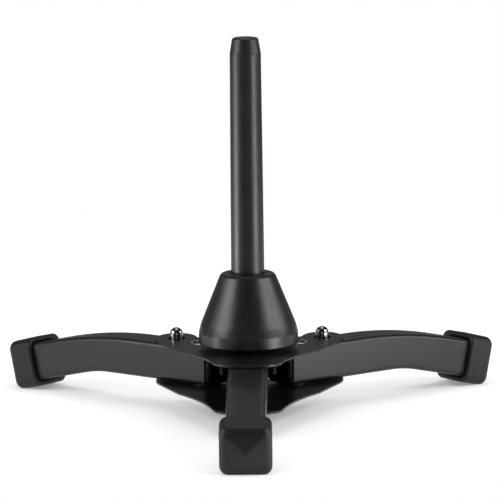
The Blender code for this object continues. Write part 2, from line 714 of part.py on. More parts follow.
def add_side_leg(side, heading, place, finishes, parent, shared):
    """Add one folding leg with its foot, pivot and lock, all placed from its hinge."""
    hinge = add_frame(f"{side}_leg_hinge", parent, place, heading)
    holes = [
        wall_hole(PIVOT_REACH, PIVOT_HOLE_RADIUS, LEG_BOTTOM, LEG_TOP),
        wall_hole(LOCK_REACH, BUTTON_RADIUS + GAP, LEG_ROOF, LEG_TOP),
    ]
    slant = ROOT_SLANT if side == "right" else -ROOT_SLANT
    add_leg(f"{side}_leg", SIDE_LEG_ROOT, PIVOT_REACH, holes, finishes["leg"], hinge, slant)
    add_foot(f"{side}_foot", finishes["rubber"], hinge, PIVOT_REACH, shared)

    bush = ring_profile(BUSH_RADIUS - BUSH_WALL, BUSH_RADIUS, LEG_TOP + GAP, UPPER_PLATE_TOP)
    add_turned(f"{side}_pivot_bush", bush, finishes["bright_steel"], hinge, ROUND_STEPS, closed=True)
    washer = ring_profile(PIVOT_HOLE_RADIUS, LEG_WASHER_RADIUS, WASHER_BOTTOM, LEG_BOTTOM - GAP)
    add_turned(f"{side}_leg_washer", washer, finishes["washer"], hinge, closed=True)
    add_pivot_pin(f"{side}_pivot_pin", finishes["bright_steel"], hinge)
    bottom = LEG_FLOOR + GAP
    top = LEG_ROOF - GAP
    turns = (top - bottom - 2 * SPRING_WIRE) / PIVOT_SPRING_PITCH
    coil = helix(PIVOT_SPRING_RADIUS, bottom, top, turns)
    add_spring(f"{side}_pivot_spring", coil, finishes["spring"], hinge, 0.0)

    lock = LOCK_REACH - PIVOT_REACH
    add_lock_button(f"{side}_lock_button", finishes["chrome"], hinge).location.x = lock
    add_lock_seat(f"{side}_lock_seat", finishes["washer"], hinge).location.x = lock
    coil = helix(LOCK_SPRING_RADIUS, SEAT_TOP + GAP, FLANGE_BOTTOM - GAP, LOCK_SPRING_TURNS)
    add_spring(f"{side}_lock_spring", coil, finishes["spring"], hinge, lock)


def add_front_leg(finishes, parent, shared):
    """Add the fixed leg with its foot and what holds it between the plates."""
    frame = add_frame("front_leg_frame", parent, heading=-math.pi / 2)
    holes = [wall_hole(0.0, SLEEVE_RADIUS + GAP, LEG_BOTTOM, LEG_TOP)]
    holes += [wall_hole(reach, SCREW_HOLE_RADIUS, LEG_BOTTOM, LEG_FLOOR) for reach in SCREW_REACHES]
    add_leg("front_leg", -FRONT_LEG_BACK, 0.0, holes, finishes["leg"], frame)
    add_foot("front_foot", finishes["rubber"], frame, 0.0, shared)

    for number, reach in enumerate(SCREW_REACHES, start=1):
        add_front_leg_fastening(number, reach, finishes, frame)


def add_front_leg_fastening(number, reach, finishes, parent):
    """Add a screw up through the lower plate, with its shim and its nut inside the leg."""
    head_top = LOWER_PLATE_BOTTOM - GAP
    nut_bottom = LEG_FLOOR + GAP
    nut_top = nut_bottom + NUT_HEIGHT
    screw = [
        (0.0, nut_top + SCREW_TIP_PLAY),
        (SCREW_RADIUS, nut_top + SCREW_TIP_PLAY),
        (SCREW_RADIUS, head_top),
        (SCREW_HEAD_RADIUS, head_top),
        (SCREW_HEAD_RADIUS, head_top - SCREW_HEAD_HEIGHT),
        (0.0, head_top - SCREW_HEAD_HEIGHT),
    ]
    add_turned(f"front_leg_screw_{number}", screw, finishes["screw"], parent).location.x = reach
    shim = ring_profile(SCREW_HOLE_RADIUS, SHIM_RADIUS, WASHER_BOTTOM, LEG_BOTTOM - GAP)
    add_turned(f"front_leg_shim_{number}", shim, finishes["washer"], parent, closed=True).location.x = reach
    name = f"front_leg_nut_{number}"
    nut = add_part(name, cylinder_mesh(name, NUT_RADIUS, nut_bottom, nut_top, 6), finishes["screw"], parent)
    nut.location.x = reach
    bore = cylinder_mesh(f"{name}_bore", SCREW_HOLE_RADIUS, nut_bottom - HOLE_OVERSHOOT,
                         nut_top + HOLE_OVERSHOOT)
    boolean(nut, add_cutter(f"{name}_bore", bore, nut))


def add_centre(finishes, parent):
    """Add the bolt that runs up through both plates and the cone into the peg."""
    washer_top = LOWER_PLATE_BOTTOM - GAP
    washer_bottom = washer_top - BOLT_WASHER_HEIGHT
    head_top = washer_bottom - GAP
    washer = ring_profile(BOLT_HOLE_RADIUS, BOLT_WASHER_RADIUS, washer_bottom, washer_top)
    add_turned("bolt_washer", washer, finishes["washer"], parent, closed=True)
    bolt = add_part("centre_bolt", cylinder_mesh("bolt_shank", BOLT_RADIUS, head_top - BOLT_HEAD_HEIGHT / 2,
                                                 BOLT_TIP), finishes["screw"], parent)
    head = cylinder_mesh("bolt_head", BOLT_HEAD_RADIUS, head_top - BOLT_HEAD_HEIGHT, head_top, 6)
    boolean(bolt, add_cutter("bolt_head", head, parent), "UNION")
    sleeve = ring_profile(BOLT_HOLE_RADIUS, SLEEVE_RADIUS, LOWER_PLATE_TOP + GAP, UPPER_PLATE_BOTTOM - GAP)
    add_turned("centre_sleeve", sleeve, finishes["washer"], parent, closed=True)
    insert = ring_profile(BOLT_HOLE_RADIUS, INSERT_RADIUS, INSERT_BOTTOM, INSERT_TOP)
    add_turned("peg_insert", insert, finishes["brass"], parent, closed=True)


def add_fold_stop(name, x, material, parent):
    """Add a shouldered pin riveted into the upper plate."""
    shoulder = UPPER_PLATE_BOTTOM - GAP
    profile = [
        (0.0, UPPER_PLATE_TOP),
        (STOP_SHANK_RADIUS, UPPER_PLATE_TOP),
        (STOP_SHANK_RADIUS, shoulder),
        (STOP_RADIUS, shoulder),
        (STOP_RADIUS, shoulder - STOP_LENGTH),
        (0.0, shoulder - STOP_LENGTH),
    ]
    add_turned(name, profile, material, parent).location = (x, STOP_Y, 0.0)


def fold_angle():
    """Turn of a side leg from its open place to its rest against the stop."""
    to_stop = Vector((PIVOT_X - STOP_X, STOP_Y - PIVOT_Y))
    offset = LEG_WIDTH / 2 + STOP_RADIUS + GAP
    folded = math.atan2(to_stop.y, to_stop.x) - math.asin(offset / to_stop.length)
    opened = math.pi * 3 / 2 - LEG_SPREAD
    return math.tau + folded - opened


def stand_centre(parts):
    """Middle of the stand's bounding box along Y."""
    scene_state = bpy.context.evaluated_depsgraph_get()
    across = []
    for part in parts:
        shape = part.evaluated_get(scene_state)
        mesh = shape.to_mesh()
        across += [(part.matrix_world @ vertex.co).y for vertex in mesh.vertices]
        shape.to_mesh_clear()
    return (min(across) + max(across)) / 2


def build():
    """Model the whole stand."""
    finishes = {
        "leg": new_material("satin_black_leg", (0.045, 0.045, 0.048), 0.42),
        "plate": new_material("satin_black_plate", (0.02, 0.02, 0.021), 0.38),
        "rubber": new_material("black_rubber", (0.03, 0.03, 0.031), 0.75),
        "cone": new_material("black_cone_plastic", (0.022, 0.022, 0.023), 0.36),
        "peg": new_material("black_peg_plastic", (0.018, 0.018, 0.019), 0.45),
        "chrome": new_material("chrome", (0.82, 0.81, 0.79), 0.08, 1.0),
        "bright_steel": new_material("bright_steel", (0.7, 0.69, 0.67), 0.25, 1.0),
        "spring": new_material("spring_steel", (0.32, 0.31, 0.3), 0.35, 1.0),
        "screw": new_material("blackened_steel", (0.09, 0.09, 0.09), 0.4, 1.0),
        "washer": new_material("zinc_steel", (0.55, 0.55, 0.54), 0.4, 1.0),
        "brass": new_material("brass", (0.68, 0.52, 0.24), 0.3, 1.0),
    }
    stand = add_frame("stand")
    shared = {"foot": foot_mesh(), "socket": socket_mesh(), "floor": add_cutter("floor", floor_mesh(), stand)}

    centre_holes = [circle((0.0, 0.0), BOLT_HOLE_RADIUS)]
    lower_holes = centre_holes + [circle((0.0, -reach), SCREW_HOLE_RADIUS) for reach in SCREW_REACHES]
    lower_holes += [circle((side * PIVOT_X, PIVOT_Y), PIVOT_HOLE_RADIUS) for side in (-1, 1)]
    upper_holes = centre_holes + [circle((side * PIVOT_X, PIVOT_Y), BUSH_HOLE_RADIUS, ROUND_STEPS)
                                  for side in (-1, 1)]
    upper_holes += [circle((side * LOBE_CENTRE_X, LOBE_CENTRE_Y), LOCK_HOLE_RADIUS) for side in (-1, 1)]
    upper_holes += [circle((side * STOP_X, STOP_Y), STOP_SHANK_RADIUS + GAP) for side in (-1, 1)]
    add_plate("lower_plate", plate_outline(LOWER_FRONT_REACH), lower_holes, LOWER_PLATE_BOTTOM,
              finishes["plate"], stand)
    add_plate("upper_plate", plate_outline(UPPER_FRONT_REACH), upper_holes, UPPER_PLATE_BOTTOM,
              finishes["plate"], stand)

    add_centre(finishes, stand)
    add_bell_cone(finishes["cone"], stand)
    add_peg(finishes["peg"], stand)
    add_cap(finishes["peg"], stand)
    add_fold_stop("left_fold_stop", -STOP_X, finishes["screw"], stand)
    add_fold_stop("right_fold_stop", STOP_X, finishes["screw"], stand)
    add_front_leg(finishes, stand, shared)
    left_heading = math.pi * 3 / 2 - LEG_SPREAD
    right_heading = LEG_SPREAD - math.pi / 2
    add_side_leg("left", left_heading, (-PIVOT_X, PIVOT_Y, 0.0), finishes, stand, shared)
    add_side_leg("right", right_heading, (PIVOT_X, PIVOT_Y, 0.0), finishes, stand, shared)

    bpy.context.view_layer.update()
    stand.location.y = -stand_centre([item for item in STAND.objects if item.type != "EMPTY"])
    bpy.context.view_layer.update()
    print(f"stand axis at y {stand.location.y / MM:.3f} mm, pivots at x {PIVOT_X / MM:.3f} mm and "
          f"y {(PIVOT_Y + stand.location.y) / MM:.3f} mm")
    print(f"fold {math.degrees(fold_angle()):.3f} degrees, button travel {BUTTON_TRAVEL / MM:.3f} mm, "
          f"lock spring seat at z {(SEAT_TOP + GAP) / MM:.3f} mm")


build()
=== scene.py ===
"""Looks of a folding woodwind stand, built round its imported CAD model.

Finely made pieces stand in for the faceted CAD solids, at the same places and sizes.
Metres, +Z up, with the front leg towards -Y and the floor at z = 0.
"""

import json
import math

import bmesh
import bpy
from mathutils import Matrix, Vector


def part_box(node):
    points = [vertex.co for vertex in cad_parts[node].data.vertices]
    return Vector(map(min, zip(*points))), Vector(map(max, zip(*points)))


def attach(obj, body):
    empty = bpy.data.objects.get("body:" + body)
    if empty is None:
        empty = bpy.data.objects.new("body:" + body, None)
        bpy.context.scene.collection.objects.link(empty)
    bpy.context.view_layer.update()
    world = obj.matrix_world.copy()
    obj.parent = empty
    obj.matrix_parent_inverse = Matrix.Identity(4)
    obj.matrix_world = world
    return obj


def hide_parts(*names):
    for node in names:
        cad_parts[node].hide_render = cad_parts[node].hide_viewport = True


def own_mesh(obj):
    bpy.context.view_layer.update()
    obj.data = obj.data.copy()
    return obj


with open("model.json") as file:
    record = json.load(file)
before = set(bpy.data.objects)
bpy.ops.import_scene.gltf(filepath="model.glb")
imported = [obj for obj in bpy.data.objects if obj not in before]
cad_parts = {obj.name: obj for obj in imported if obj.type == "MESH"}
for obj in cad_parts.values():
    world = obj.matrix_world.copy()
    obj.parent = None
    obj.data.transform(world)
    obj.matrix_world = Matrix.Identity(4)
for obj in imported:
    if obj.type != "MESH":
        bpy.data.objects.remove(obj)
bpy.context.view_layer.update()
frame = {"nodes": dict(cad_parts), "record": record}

MM = 0.001
TINY = 0.0000001                   # merges only points that coincide
CUT_PAST = 2.0 * MM                # how far a hole's cutter runs past the wall it cuts

# Clearances
GAP = 0.3 * MM
SEAM = 0.08 * MM                   # fine line between pieces that are pressed together

# Softened edges of the turned pieces
FINE_EDGE = 0.1 * MM
RING_EDGE = 0.12 * MM
STOP_EDGE = 0.15 * MM
SMALL_EDGE = 0.2 * MM
SOFT_EDGE = 0.3 * MM
PLUG_EDGE = 0.4 * MM
ROUND_EDGE = 0.5 * MM
ROOF_EDGE = 1.0 * MM

# Legs
LEG_WIDTH = 20.0 * MM
LEG_WALL = 1.6 * MM
LEG_CORNER = 2.6 * MM
LEG_SPREAD = math.radians(127.5)
LEG_TILT = math.radians(13.2)
BEND_REACH = 98.6 * MM
LEG_RUN = 54.2 * MM
TOP_BEND_RADIUS = 254.0 * MM
BOTTOM_BEND_RADIUS = 73.0 * MM
FRONT_LEG_BACK = 12.0 * MM
SIDE_LEG_ROOT = 22.0 * MM
ROOT_SLANT = 2.2 * MM              # how much further in a side leg's back wall runs
LEG_EDGE = 0.25 * MM               # softened edge of a cut end or a drilled hole

# Rubber feet
FOOT_WALL = 2.9 * MM
FOOT_END_WALL = 4.0 * MM
FOOT_LENGTH = 16.8 * MM
FOOT_ROUNDING = 4.6 * MM
FOOT_CROWN = 3.3 * MM              # rise of the four soft facets to their tip
FOOT_TIP = 2.0 * MM                # how far the tip stands out past the end wall
FOOT_COLLAR = 4.2 * MM             # from the mouth to the crease round the foot
FOOT_CREASE = 0.14 * MM
FOOT_LIP = 1.3 * MM                # rounding of the rim round the mouth
FOOT_RIDGE = 0.8 * MM              # softness of the four ridges of the crowned end
FOOT_TRIM = 0.15 * MM              # keeps the smooth foot inside the faceted CAD foot
SOCKET_SHARES = (0.02, 0.5, 1.0)   # rings on the socket's floor, as shares of its half width
TIP_SHARES = (0.85, 0.7, 0.5, 0.3, 0.15, 0.02)   # rings on the end, as shares of its flat part
CREASE_PROFILE = ((-3, 0.0), (-1, 0.6), (0, 1.0), (1, 0.6), (3, 0.0))   # place and depth, in creases

# Plates
PLATE_EDGE = 0.2 * MM
UPPER_FRONT_REACH = 52.8 * MM
LOWER_FRONT_REACH = 64.5 * MM
ARM_HALF_WIDTH = 19.0 * MM
ARM_LENGTH = 15.8 * MM
ARM_END_HALF_WIDTH = 16.6 * MM
ARM_END_CROWN = 3.2 * MM
ARM_CORNER = 12.5 * MM
SCOOP_RADIUS = 120.0 * MM
KINK_X = 37.2 * MM
KINK_Y = -6.5 * MM
KINK_ROUNDING = 0.8 * MM
LOBE_HALF_WIDTH = 11.2 * MM
LOBE_HALF_LENGTH = 16.5 * MM
LOBE_END = math.radians(170.0)
BACK_EDGE_HALF = 22.0 * MM
BACK_EDGE_Y = 29.0 * MM

# Pivots and locks, on the middle line of each side leg
PIVOT_REACH = 28.5 * MM
PIVOT_SHANK_RADIUS = 1.3 * MM
PIVOT_HEAD_RADIUS = 6.4 * MM
PIVOT_HEAD_HEIGHT = 1.2 * MM
PIVOT_RIVET_RADIUS = 2.6 * MM
BUSH_RADIUS = 8.5 * MM
BUSH_WALL = 1.3 * MM
PIVOT_SPRING_RADIUS = 2.0 * MM
PIVOT_SPRING_PITCH = 1.06 * MM
SPRING_WIRE = 0.6 * MM
LOCK_REACH = 48.7 * MM
BUTTON_RADIUS = 3.55 * MM
BUTTON_STRAIGHT = 2.3 * MM
BUTTON_FLANGE_RADIUS = 4.6 * MM
BUTTON_BORE_RADIUS = 1.9 * MM
BUTTON_TOP_WALL = 1.4 * MM
LOCK_HOLE_RADIUS = 4.65 * MM
LOCK_SPRING_RADIUS = 2.9 * MM
LOCK_SPRING_TURNS = 5
STOP_SHANK_RADIUS = 0.9 * MM

# Bell cone
CONE_HEIGHT = 37.4 * MM
CONE_BAND = 6.3 * MM
CONE_BREAK_RADIUS = 25.05 * MM
CONE_BREAK_HEIGHT = 10.3 * MM
CONE_BREAK_ROUNDING = 18.0 * MM
CONE_TOP_RADIUS = 14.1 * MM
CONE_SHOULDER = 3.0 * MM
CONE_WALL = 2.4 * MM
CONE_ROOF = 5.0 * MM
CONE_BOSS_RADIUS = 7.5 * MM
CONE_RIM_ROUNDING = 0.8 * MM
CONE_STEP = 0.05 * MM              # how far the band stands proud of the cone above it
PEG_SINK = 2.4 * MM

# Peg and its cap
PEG_FOOT_RADIUS = 8.75 * MM
PEG_TOP_RADIUS = 8.1 * MM
PEG_WALL = 2.2 * MM
PEG_WEB = 3.0 * MM
CAP_HEIGHT = 8.6 * MM
CAP_SHOULDER_HEIGHT = 7.9 * MM
CAP_SHOULDER_RADIUS = 6.75 * MM
CAP_ROUNDING = 1.4 * MM
BOLT_RADIUS = 3.0 * MM
SCREW_RADIUS = 1.5 * MM
SCREW_REACHES = (30.0 * MM, 47.0 * MM)

# Facets
ROUND_STEPS = 96
SMALL_STEPS = 64
ARC_STEP = math.radians(4.0)
LEG_CORNER_STEPS = 8
BEND_STATIONS = 40
FOOT_CORNER_STEPS = 8
FOOT_EDGE_STEPS = 10
FOOT_END_STEPS = 14
CURL_POINTS = 24
SHARP_ANGLE = math.radians(32.0)
SECTION_PASSES = 20


def low(node):
    """Lowest height of a CAD node."""
    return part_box(node)[0].z


def high(node):
    """Highest height of a CAD node."""
    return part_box(node)[1].z


def middle(node):
    """Middle of a CAD node, seen from above."""
    lowest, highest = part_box(node)
    return (lowest.xy + highest.xy) / 2


# Places and heights, worked out from the frame
AXIS = middle("peg_cap")
PIVOTS = {side: middle(f"{side}_pivot_pin") for side in ("left", "right")}
LEG_TOP = high("left_leg")
UPPER_TOP = high("upper_plate")
UPPER_BOTTOM = low("upper_plate")
LOWER_BOTTOM = low("lower_plate")
LEG_BOTTOM = LEG_TOP - LEG_WIDTH
LEG_MIDDLE = LEG_TOP - LEG_WIDTH / 2
LEG_FLOOR = LEG_BOTTOM + LEG_WALL
LEG_ROOF = LEG_TOP - LEG_WALL
CONE_TOP = high("bell_cone")
CONE_RADIUS = (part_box("bell_cone")[1].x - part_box("bell_cone")[0].x) / 2
CONE_BOTTOM = CONE_TOP - CONE_HEIGHT
STAND_TOP = high("peg_cap")
PEG_TOP = STAND_TOP - CAP_HEIGHT
BUTTON_TOP = high("left_lock_button")
FOOT_HALF = LEG_WIDTH / 2 + GAP + FOOT_WALL
FOOT_END = LEG_RUN + GAP + FOOT_END_WALL - FOOT_TRIM
TOP_VERTEX = BEND_REACH + LEG_WIDTH / 2 * math.tan(LEG_TILT / 2)
BOTTOM_VERTEX = BEND_REACH - LEG_WIDTH / 2 * math.tan(LEG_TILT / 2)
TOP_BEND_START = TOP_VERTEX - TOP_BEND_RADIUS * math.tan(LEG_TILT / 2)
TOP_BEND_END = TOP_BEND_START + TOP_BEND_RADIUS * math.sin(LEG_TILT)
LEG_END = BEND_REACH + LEG_RUN * math.cos(LEG_TILT) + LEG_WIDTH / 2 * math.sin(LEG_TILT)
HEADINGS = {"left": math.pi * 3 / 2 - LEG_SPREAD, "right": LEG_SPREAD - math.pi / 2}
LOBE = (LOCK_REACH * math.sin(math.pi - LEG_SPREAD), LOCK_REACH * math.cos(math.pi - LEG_SPREAD))
PIVOT = (PIVOT_REACH * math.sin(math.pi - LEG_SPREAD), PIVOT_REACH * math.cos(math.pi - LEG_SPREAD))


# Materials

SPECK_SIZE = 2.5                   # size of the specks, in grains
FLECK_SHARE = 0.35                 # strongest share of the lighter colour in a fleck
ROUGH_SPECKLE = 0.03               # how much a grain changes the roughness, either way
FLECK_RANGE = (0.45, 0.75)         # noise values at which flecks begin and are full
WEAR_AND_HIGHLIGHT_SHAPE = (0.53, 0.62)          # pointiness at which the lighter edges, partly wear and partly a painted edge highlight, begin and are full
# specks that break up the lighter edges, which are partly wear and partly a painted edge highlight
WEAR_AND_HIGHLIGHT_SPECKS = (0.35, 0.6)


def node(tree, kind, **settings):
    """Add a shader node and set its properties and its unlinked inputs."""
    made = tree.nodes.new(kind)
    for key, value in settings.items():
        if hasattr(made, key):
            setattr(made, key, value)
        else:
            made.inputs[key.replace("_", " ")].default_value = value
    return made


def noise(tree, coordinates, size, detail=3.0, stretch=(1.0, 1.0, 1.0)):
    """Noise whose features are about this size, in metres."""
    mapping = node(tree, "ShaderNodeMapping")
    mapping.inputs["Scale"].default_value = stretch
    tree.links.new(coordinates, mapping.inputs["Vector"])
    made = node(tree, "ShaderNodeTexNoise", Scale=1.0 / size, Detail=detail)
    tree.links.new(mapping.outputs["Vector"], made.inputs["Vector"])
    return made.outputs["Fac"]


def ranged(tree, value, low_value, high_value, from_low=0.3, from_high=0.7):
    """Stretch a value from one range to another."""
    made = node(tree, "ShaderNodeMapRange")
    made.inputs["From Min"].default_value = from_low
    made.inputs["From Max"].default_value = from_high
    made.inputs["To Min"].default_value = low_value
    made.inputs["To Max"].default_value = high_value
    tree.links.new(value, made.inputs["Value"])
    return made.outputs["Result"]


def mixed(tree, share, first, second):
    """Mix two colours by a value; each is a colour or another node's output."""
    made = node(tree, "ShaderNodeMix", data_type="RGBA")
    tree.links.new(share, made.inputs[0])
    for colour, socket in ((first, made.inputs[6]), (second, made.inputs[7])):
        if isinstance(colour, tuple):
            socket.default_value = (*colour, 1.0)
        else:
            tree.links.new(colour, socket)
    return made.outputs[2]


def finish(name, dark, light, rough, metallic=0.0, grain=0.4, relief=0.004, patch=9.0,
           stretch=(1.0, 1.0, 1.0), wear_and_edge_highlight=None, specular=0.5):
    """Procedural finish. Grain, relief and patch are in millimetres, and rough is a range. A wear colour,
    if given, lightens the sharp edges in specks: partly edge wear, partly a painted edge highlight.
    """
    made = bpy.data.materials.new(name)
    made.use_nodes = True
    tree = made.node_tree
    shader = tree.nodes["Principled BSDF"]
    shader.inputs["Metallic"].default_value = metallic
    shader.inputs["Specular IOR Level"].default_value = specular
    coordinates = node(tree, "ShaderNodeTexCoord").outputs["Object"]
    fine = noise(tree, coordinates, grain * MM, 4.0, stretch)
    broad = noise(tree, coordinates, patch * MM, 5.0)
    speck = noise(tree, coordinates, SPECK_SIZE * grain * MM, 2.0, stretch)

    colour = mixed(tree, ranged(tree, broad, 0.0, 1.0), dark, light)
    flecked = mixed(tree, ranged(tree, speck, 0.0, FLECK_SHARE, *FLECK_RANGE), colour, light)
    rough_low, rough_high = rough
    patchy = ranged(tree, broad, rough_low, rough_high)
    speckled = ranged(tree, fine, -ROUGH_SPECKLE, ROUGH_SPECKLE)
    total = node(tree, "ShaderNodeMath", operation="ADD", use_clamp=True)
    tree.links.new(patchy, total.inputs[0])
    tree.links.new(speckled, total.inputs[1])
    # lighter sharp edges in specks: partly edge wear, partly a painted edge highlight
    if wear_and_edge_highlight:
        edges = node(tree, "ShaderNodeNewGeometry").outputs["Pointiness"]
        worn_and_highlit = node(tree, "ShaderNodeMath", operation="MULTIPLY", use_clamp=True)
        tree.links.new(ranged(tree, edges, 0.0, 1.0, *WEAR_AND_HIGHLIGHT_SHAPE), worn_and_highlit.inputs[0])
        tree.links.new(ranged(tree, speck, 0.0, 1.0, *WEAR_AND_HIGHLIGHT_SPECKS), worn_and_highlit.inputs[1])
        flecked = mixed(tree, worn_and_highlit.outputs[0], flecked, wear_and_edge_highlight)
    tree.links.new(flecked, shader.inputs["Base Color"])
    tree.links.new(total.outputs[0], shader.inputs["Roughness"])
    bump = node(tree, "ShaderNodeBump", Strength=1.0, Distance=relief * MM)
    tree.links.new(fine, bump.inputs["Height"])
    tree.links.new(bump.outputs["Normal"], shader.inputs["Normal"])
    return made


FINISHES = {
    # the leg and plate paint get lighter edges that are partly wear, partly a painted edge highlight
    "leg_paint": finish("leg_powder_coat", (0.006, 0.006, 0.0066), (0.008, 0.008, 0.009), (0.30, 0.38),
                        grain=0.55, relief=0.0025, wear_and_edge_highlight=(0.03, 0.03, 0.033), specular=0.43),
    "plate_paint": finish("plate_enamel", (0.004, 0.004, 0.0044), (0.0055, 0.0055, 0.006), (0.3, 0.36),
                          grain=0.5, relief=0.0006, wear_and_edge_highlight=(0.03, 0.03, 0.031), specular=0.42),
    "foot_rubber": finish("foot_rubber", (0.004, 0.004, 0.0042), (0.007, 0.007, 0.0073), (0.46, 0.54),
                          grain=0.35, relief=0.006, patch=5.0, specular=0.36),
    "cone_plastic": finish("cone_plastic", (0.004, 0.004, 0.0043), (0.006, 0.006, 0.0063), (0.33, 0.39),
                           grain=0.9, relief=0.03),
    "peg_plastic": finish("peg_plastic", (0.005, 0.005, 0.0053), (0.008, 0.008, 0.0083), (0.38, 0.44),
                          grain=0.8, relief=0.04),
    "button_chrome": finish("button_chrome", (0.30, 0.29, 0.28), (0.38, 0.37, 0.36), (0.10, 0.16), 1.0,
                            grain=0.8, relief=0.0006, patch=3.0),
    "bright_steel": finish("turned_steel", (0.55, 0.54, 0.53), (0.68, 0.67, 0.65), (0.18, 0.28), 1.0,
                           grain=0.25, relief=0.002, patch=3.0, stretch=(1.0, 1.0, 6.0)),
    "spring_steel": finish("spring_wire", (0.88, 0.87, 0.86), (0.94, 0.93, 0.92), (0.38, 0.48), 1.0,
                           grain=0.2, relief=0.001, patch=2.0),
    "black_steel": finish("blackened_steel", (0.008, 0.008, 0.009), (0.014, 0.014, 0.015), (0.6, 0.7), 0.0,
                          grain=0.25, relief=0.002, patch=3.0, specular=0.15),
    "zinc_steel": finish("zinc_plate", (0.1, 0.1, 0.102), (0.15, 0.15, 0.152), (0.42, 0.54), 1.0,
                         grain=0.3, relief=0.002, patch=3.0),
    "insert_brass": finish("turned_brass", (0.58, 0.43, 0.2), (0.7, 0.54, 0.27), (0.25, 0.35), 1.0,
                           grain=0.25, relief=0.002, patch=3.0, stretch=(1.0, 1.0, 6.0)),
}


# Outlines

def arc(centre, radii, start, end):
    """Points along part of a circle or an ellipse, both ends included."""
    steps = max(2, round(abs(end - start) / ARC_STEP))
    points = []
    for step in range(steps + 1):
        angle = start + (end - start) * step / steps
        points.append((centre[0] + radii[0] * math.cos(angle), centre[1] + radii[1] * math.sin(angle)))
    return points


def rounded(corner, before, after, radius):
    """Points of a fillet of the given radius on a corner of an outline."""
    tip = Vector(corner)
    towards_before = (Vector(before) - tip).normalized()
    towards_after = (Vector(after) - tip).normalized()
    half = towards_before.angle(towards_after) / 2
    centre = tip + (towards_before + towards_after).normalized() * radius / math.sin(half)
    first = tip + towards_before * radius / math.tan(half) - centre
    last = tip + towards_after * radius / math.tan(half) - centre
    start = math.atan2(first.y, first.x)
    return arc(centre, (radius, radius), start, start - first.angle_signed(last))


def softened(corners):
    """Outline through (x, y, radius) corners, each rounded by its own radius."""
    points = []
    for index, (x, y, radius) in enumerate(corners):
        if radius:
            before = corners[index - 1][:2]
            after = corners[(index + 1) % len(corners)][:2]
            points += rounded((x, y), before, after, radius)
        else:
            points.append((x, y))
    return points


def tangent_angle(centre, radii, point):
    """Angle on an ellipse at which a line from a point outside it touches its right side."""
    across = (point[0] - centre[0]) / radii[0]
    along = (point[1] - centre[1]) / radii[1]
    return math.atan2(along, across) + math.acos(1.0 / math.hypot(across, along))


def scooped_side(start, end, radius):
    """Arc that is hollow towards the outside, from the front arm out to the kink."""
    first = Vector(start)
    last = Vector(end)
    chord = last - first
    rise = math.sqrt(radius ** 2 - (chord.length / 2) ** 2)
    centre = (first + last) / 2 + Vector((chord.y, -chord.x)).normalized() * rise
    from_angle = math.atan2(first.y - centre.y, first.x - centre.x)
    to_angle = math.atan2(last.y - centre.y, last.x - centre.x)
    return arc(centre, (radius, radius), from_angle, to_angle)


def plate_outline(front_reach):
    """Outline of a plate: front arm, scooped sides, and a lobe over each side leg."""
    front = (0.0, -front_reach)
    arm_end = (ARM_END_HALF_WIDTH, ARM_END_CROWN - front_reach)
    arm_root = (ARM_HALF_WIDTH, ARM_LENGTH - front_reach)
    kink = (KINK_X, KINK_Y)
    lobe_radii = (LOBE_HALF_WIDTH, LOBE_HALF_LENGTH)
    lobe_side = arc(LOBE, lobe_radii, tangent_angle(LOBE, lobe_radii, kink), LOBE_END)
    scoop = scooped_side(arm_root, kink, SCOOP_RADIUS)
    right = [front]
    right += rounded(arm_end, front, arm_root, ARM_CORNER)
    right += scoop[:-1]
    right += rounded(kink, scoop[-2], lobe_side[0], KINK_ROUNDING)
    right += lobe_side
    right.append((BACK_EDGE_HALF, BACK_EDGE_Y))
    left = [(-x, y) for x, y in reversed(right[1:])]
    return right + left


def circle(place, radius, steps=SMALL_STEPS):
    """Points of a round hole."""
    turn = math.tau / steps
    return [
        (place[0] + radius * math.cos(turn * step), place[1] + radius * math.sin(turn * step))
        for step in range(steps)
    ]


def square_ring(half_width, half_height, corner, steps):
    """Rounded rectangle across a leg or a foot, as (side, height) points."""
    inner_width = half_width - corner
    inner_height = half_height - corner
    points = []
    for quarter, (side, up) in enumerate(((1, 1), (-1, 1), (-1, -1), (1, -1))):
        start = quarter * math.pi / 2
        for step in range(steps + 1):
            angle = start + step * math.pi / 2 / steps
            across = side * inner_width + corner * math.cos(angle)
            points.append((across, up * inner_height + corner * math.sin(angle)))
    return points


# Pieces

def at(place, heading=0.0, height=0.0):
    """Matrix that turns a piece about Z and puts it at a place."""
    return Matrix.Translation((place[0], place[1], height)) @ Matrix.Rotation(heading, 4, "Z")


def mesh_from(name, work):
    """Turn a bmesh into a mesh."""
    mesh = bpy.data.meshes.new(name)
    work.to_mesh(mesh)
    work.free()
    return mesh


def loose_object(name, data):
    """An object in the scene that isn't a piece yet."""
    item = bpy.data.objects.new(name, data)
    bpy.context.scene.collection.objects.link(item)
    return item


def evaluated_mesh(item):
    """Final mesh of an object, after which the object is removed."""
    scene_state = bpy.context.evaluated_depsgraph_get()
    mesh = bpy.data.meshes.new_from_object(item.evaluated_get(scene_state))
    bpy.data.objects.remove(item, do_unlink=True)
    return mesh


def add_piece(cad_node, mesh, slot, body, place, weighted=True):
    """Put a mesh in place as the fine piece that stands for a CAD node."""
    mesh.transform(place)
    mesh.shade_smooth()
    mesh.set_sharp_from_angle(angle=SHARP_ANGLE)
    mesh.materials.clear()
    mesh.materials.append(FINISHES[slot])
    mesh.name = f"{cad_node}_fine"
    item = loose_object(f"{cad_node}_fine", mesh)
    if weighted:
        normals = item.modifiers.new("face_weighted_normals", "WEIGHTED_NORMAL")
        normals.keep_sharp = True
    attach(item, body)
    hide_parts(cad_node)
    return item


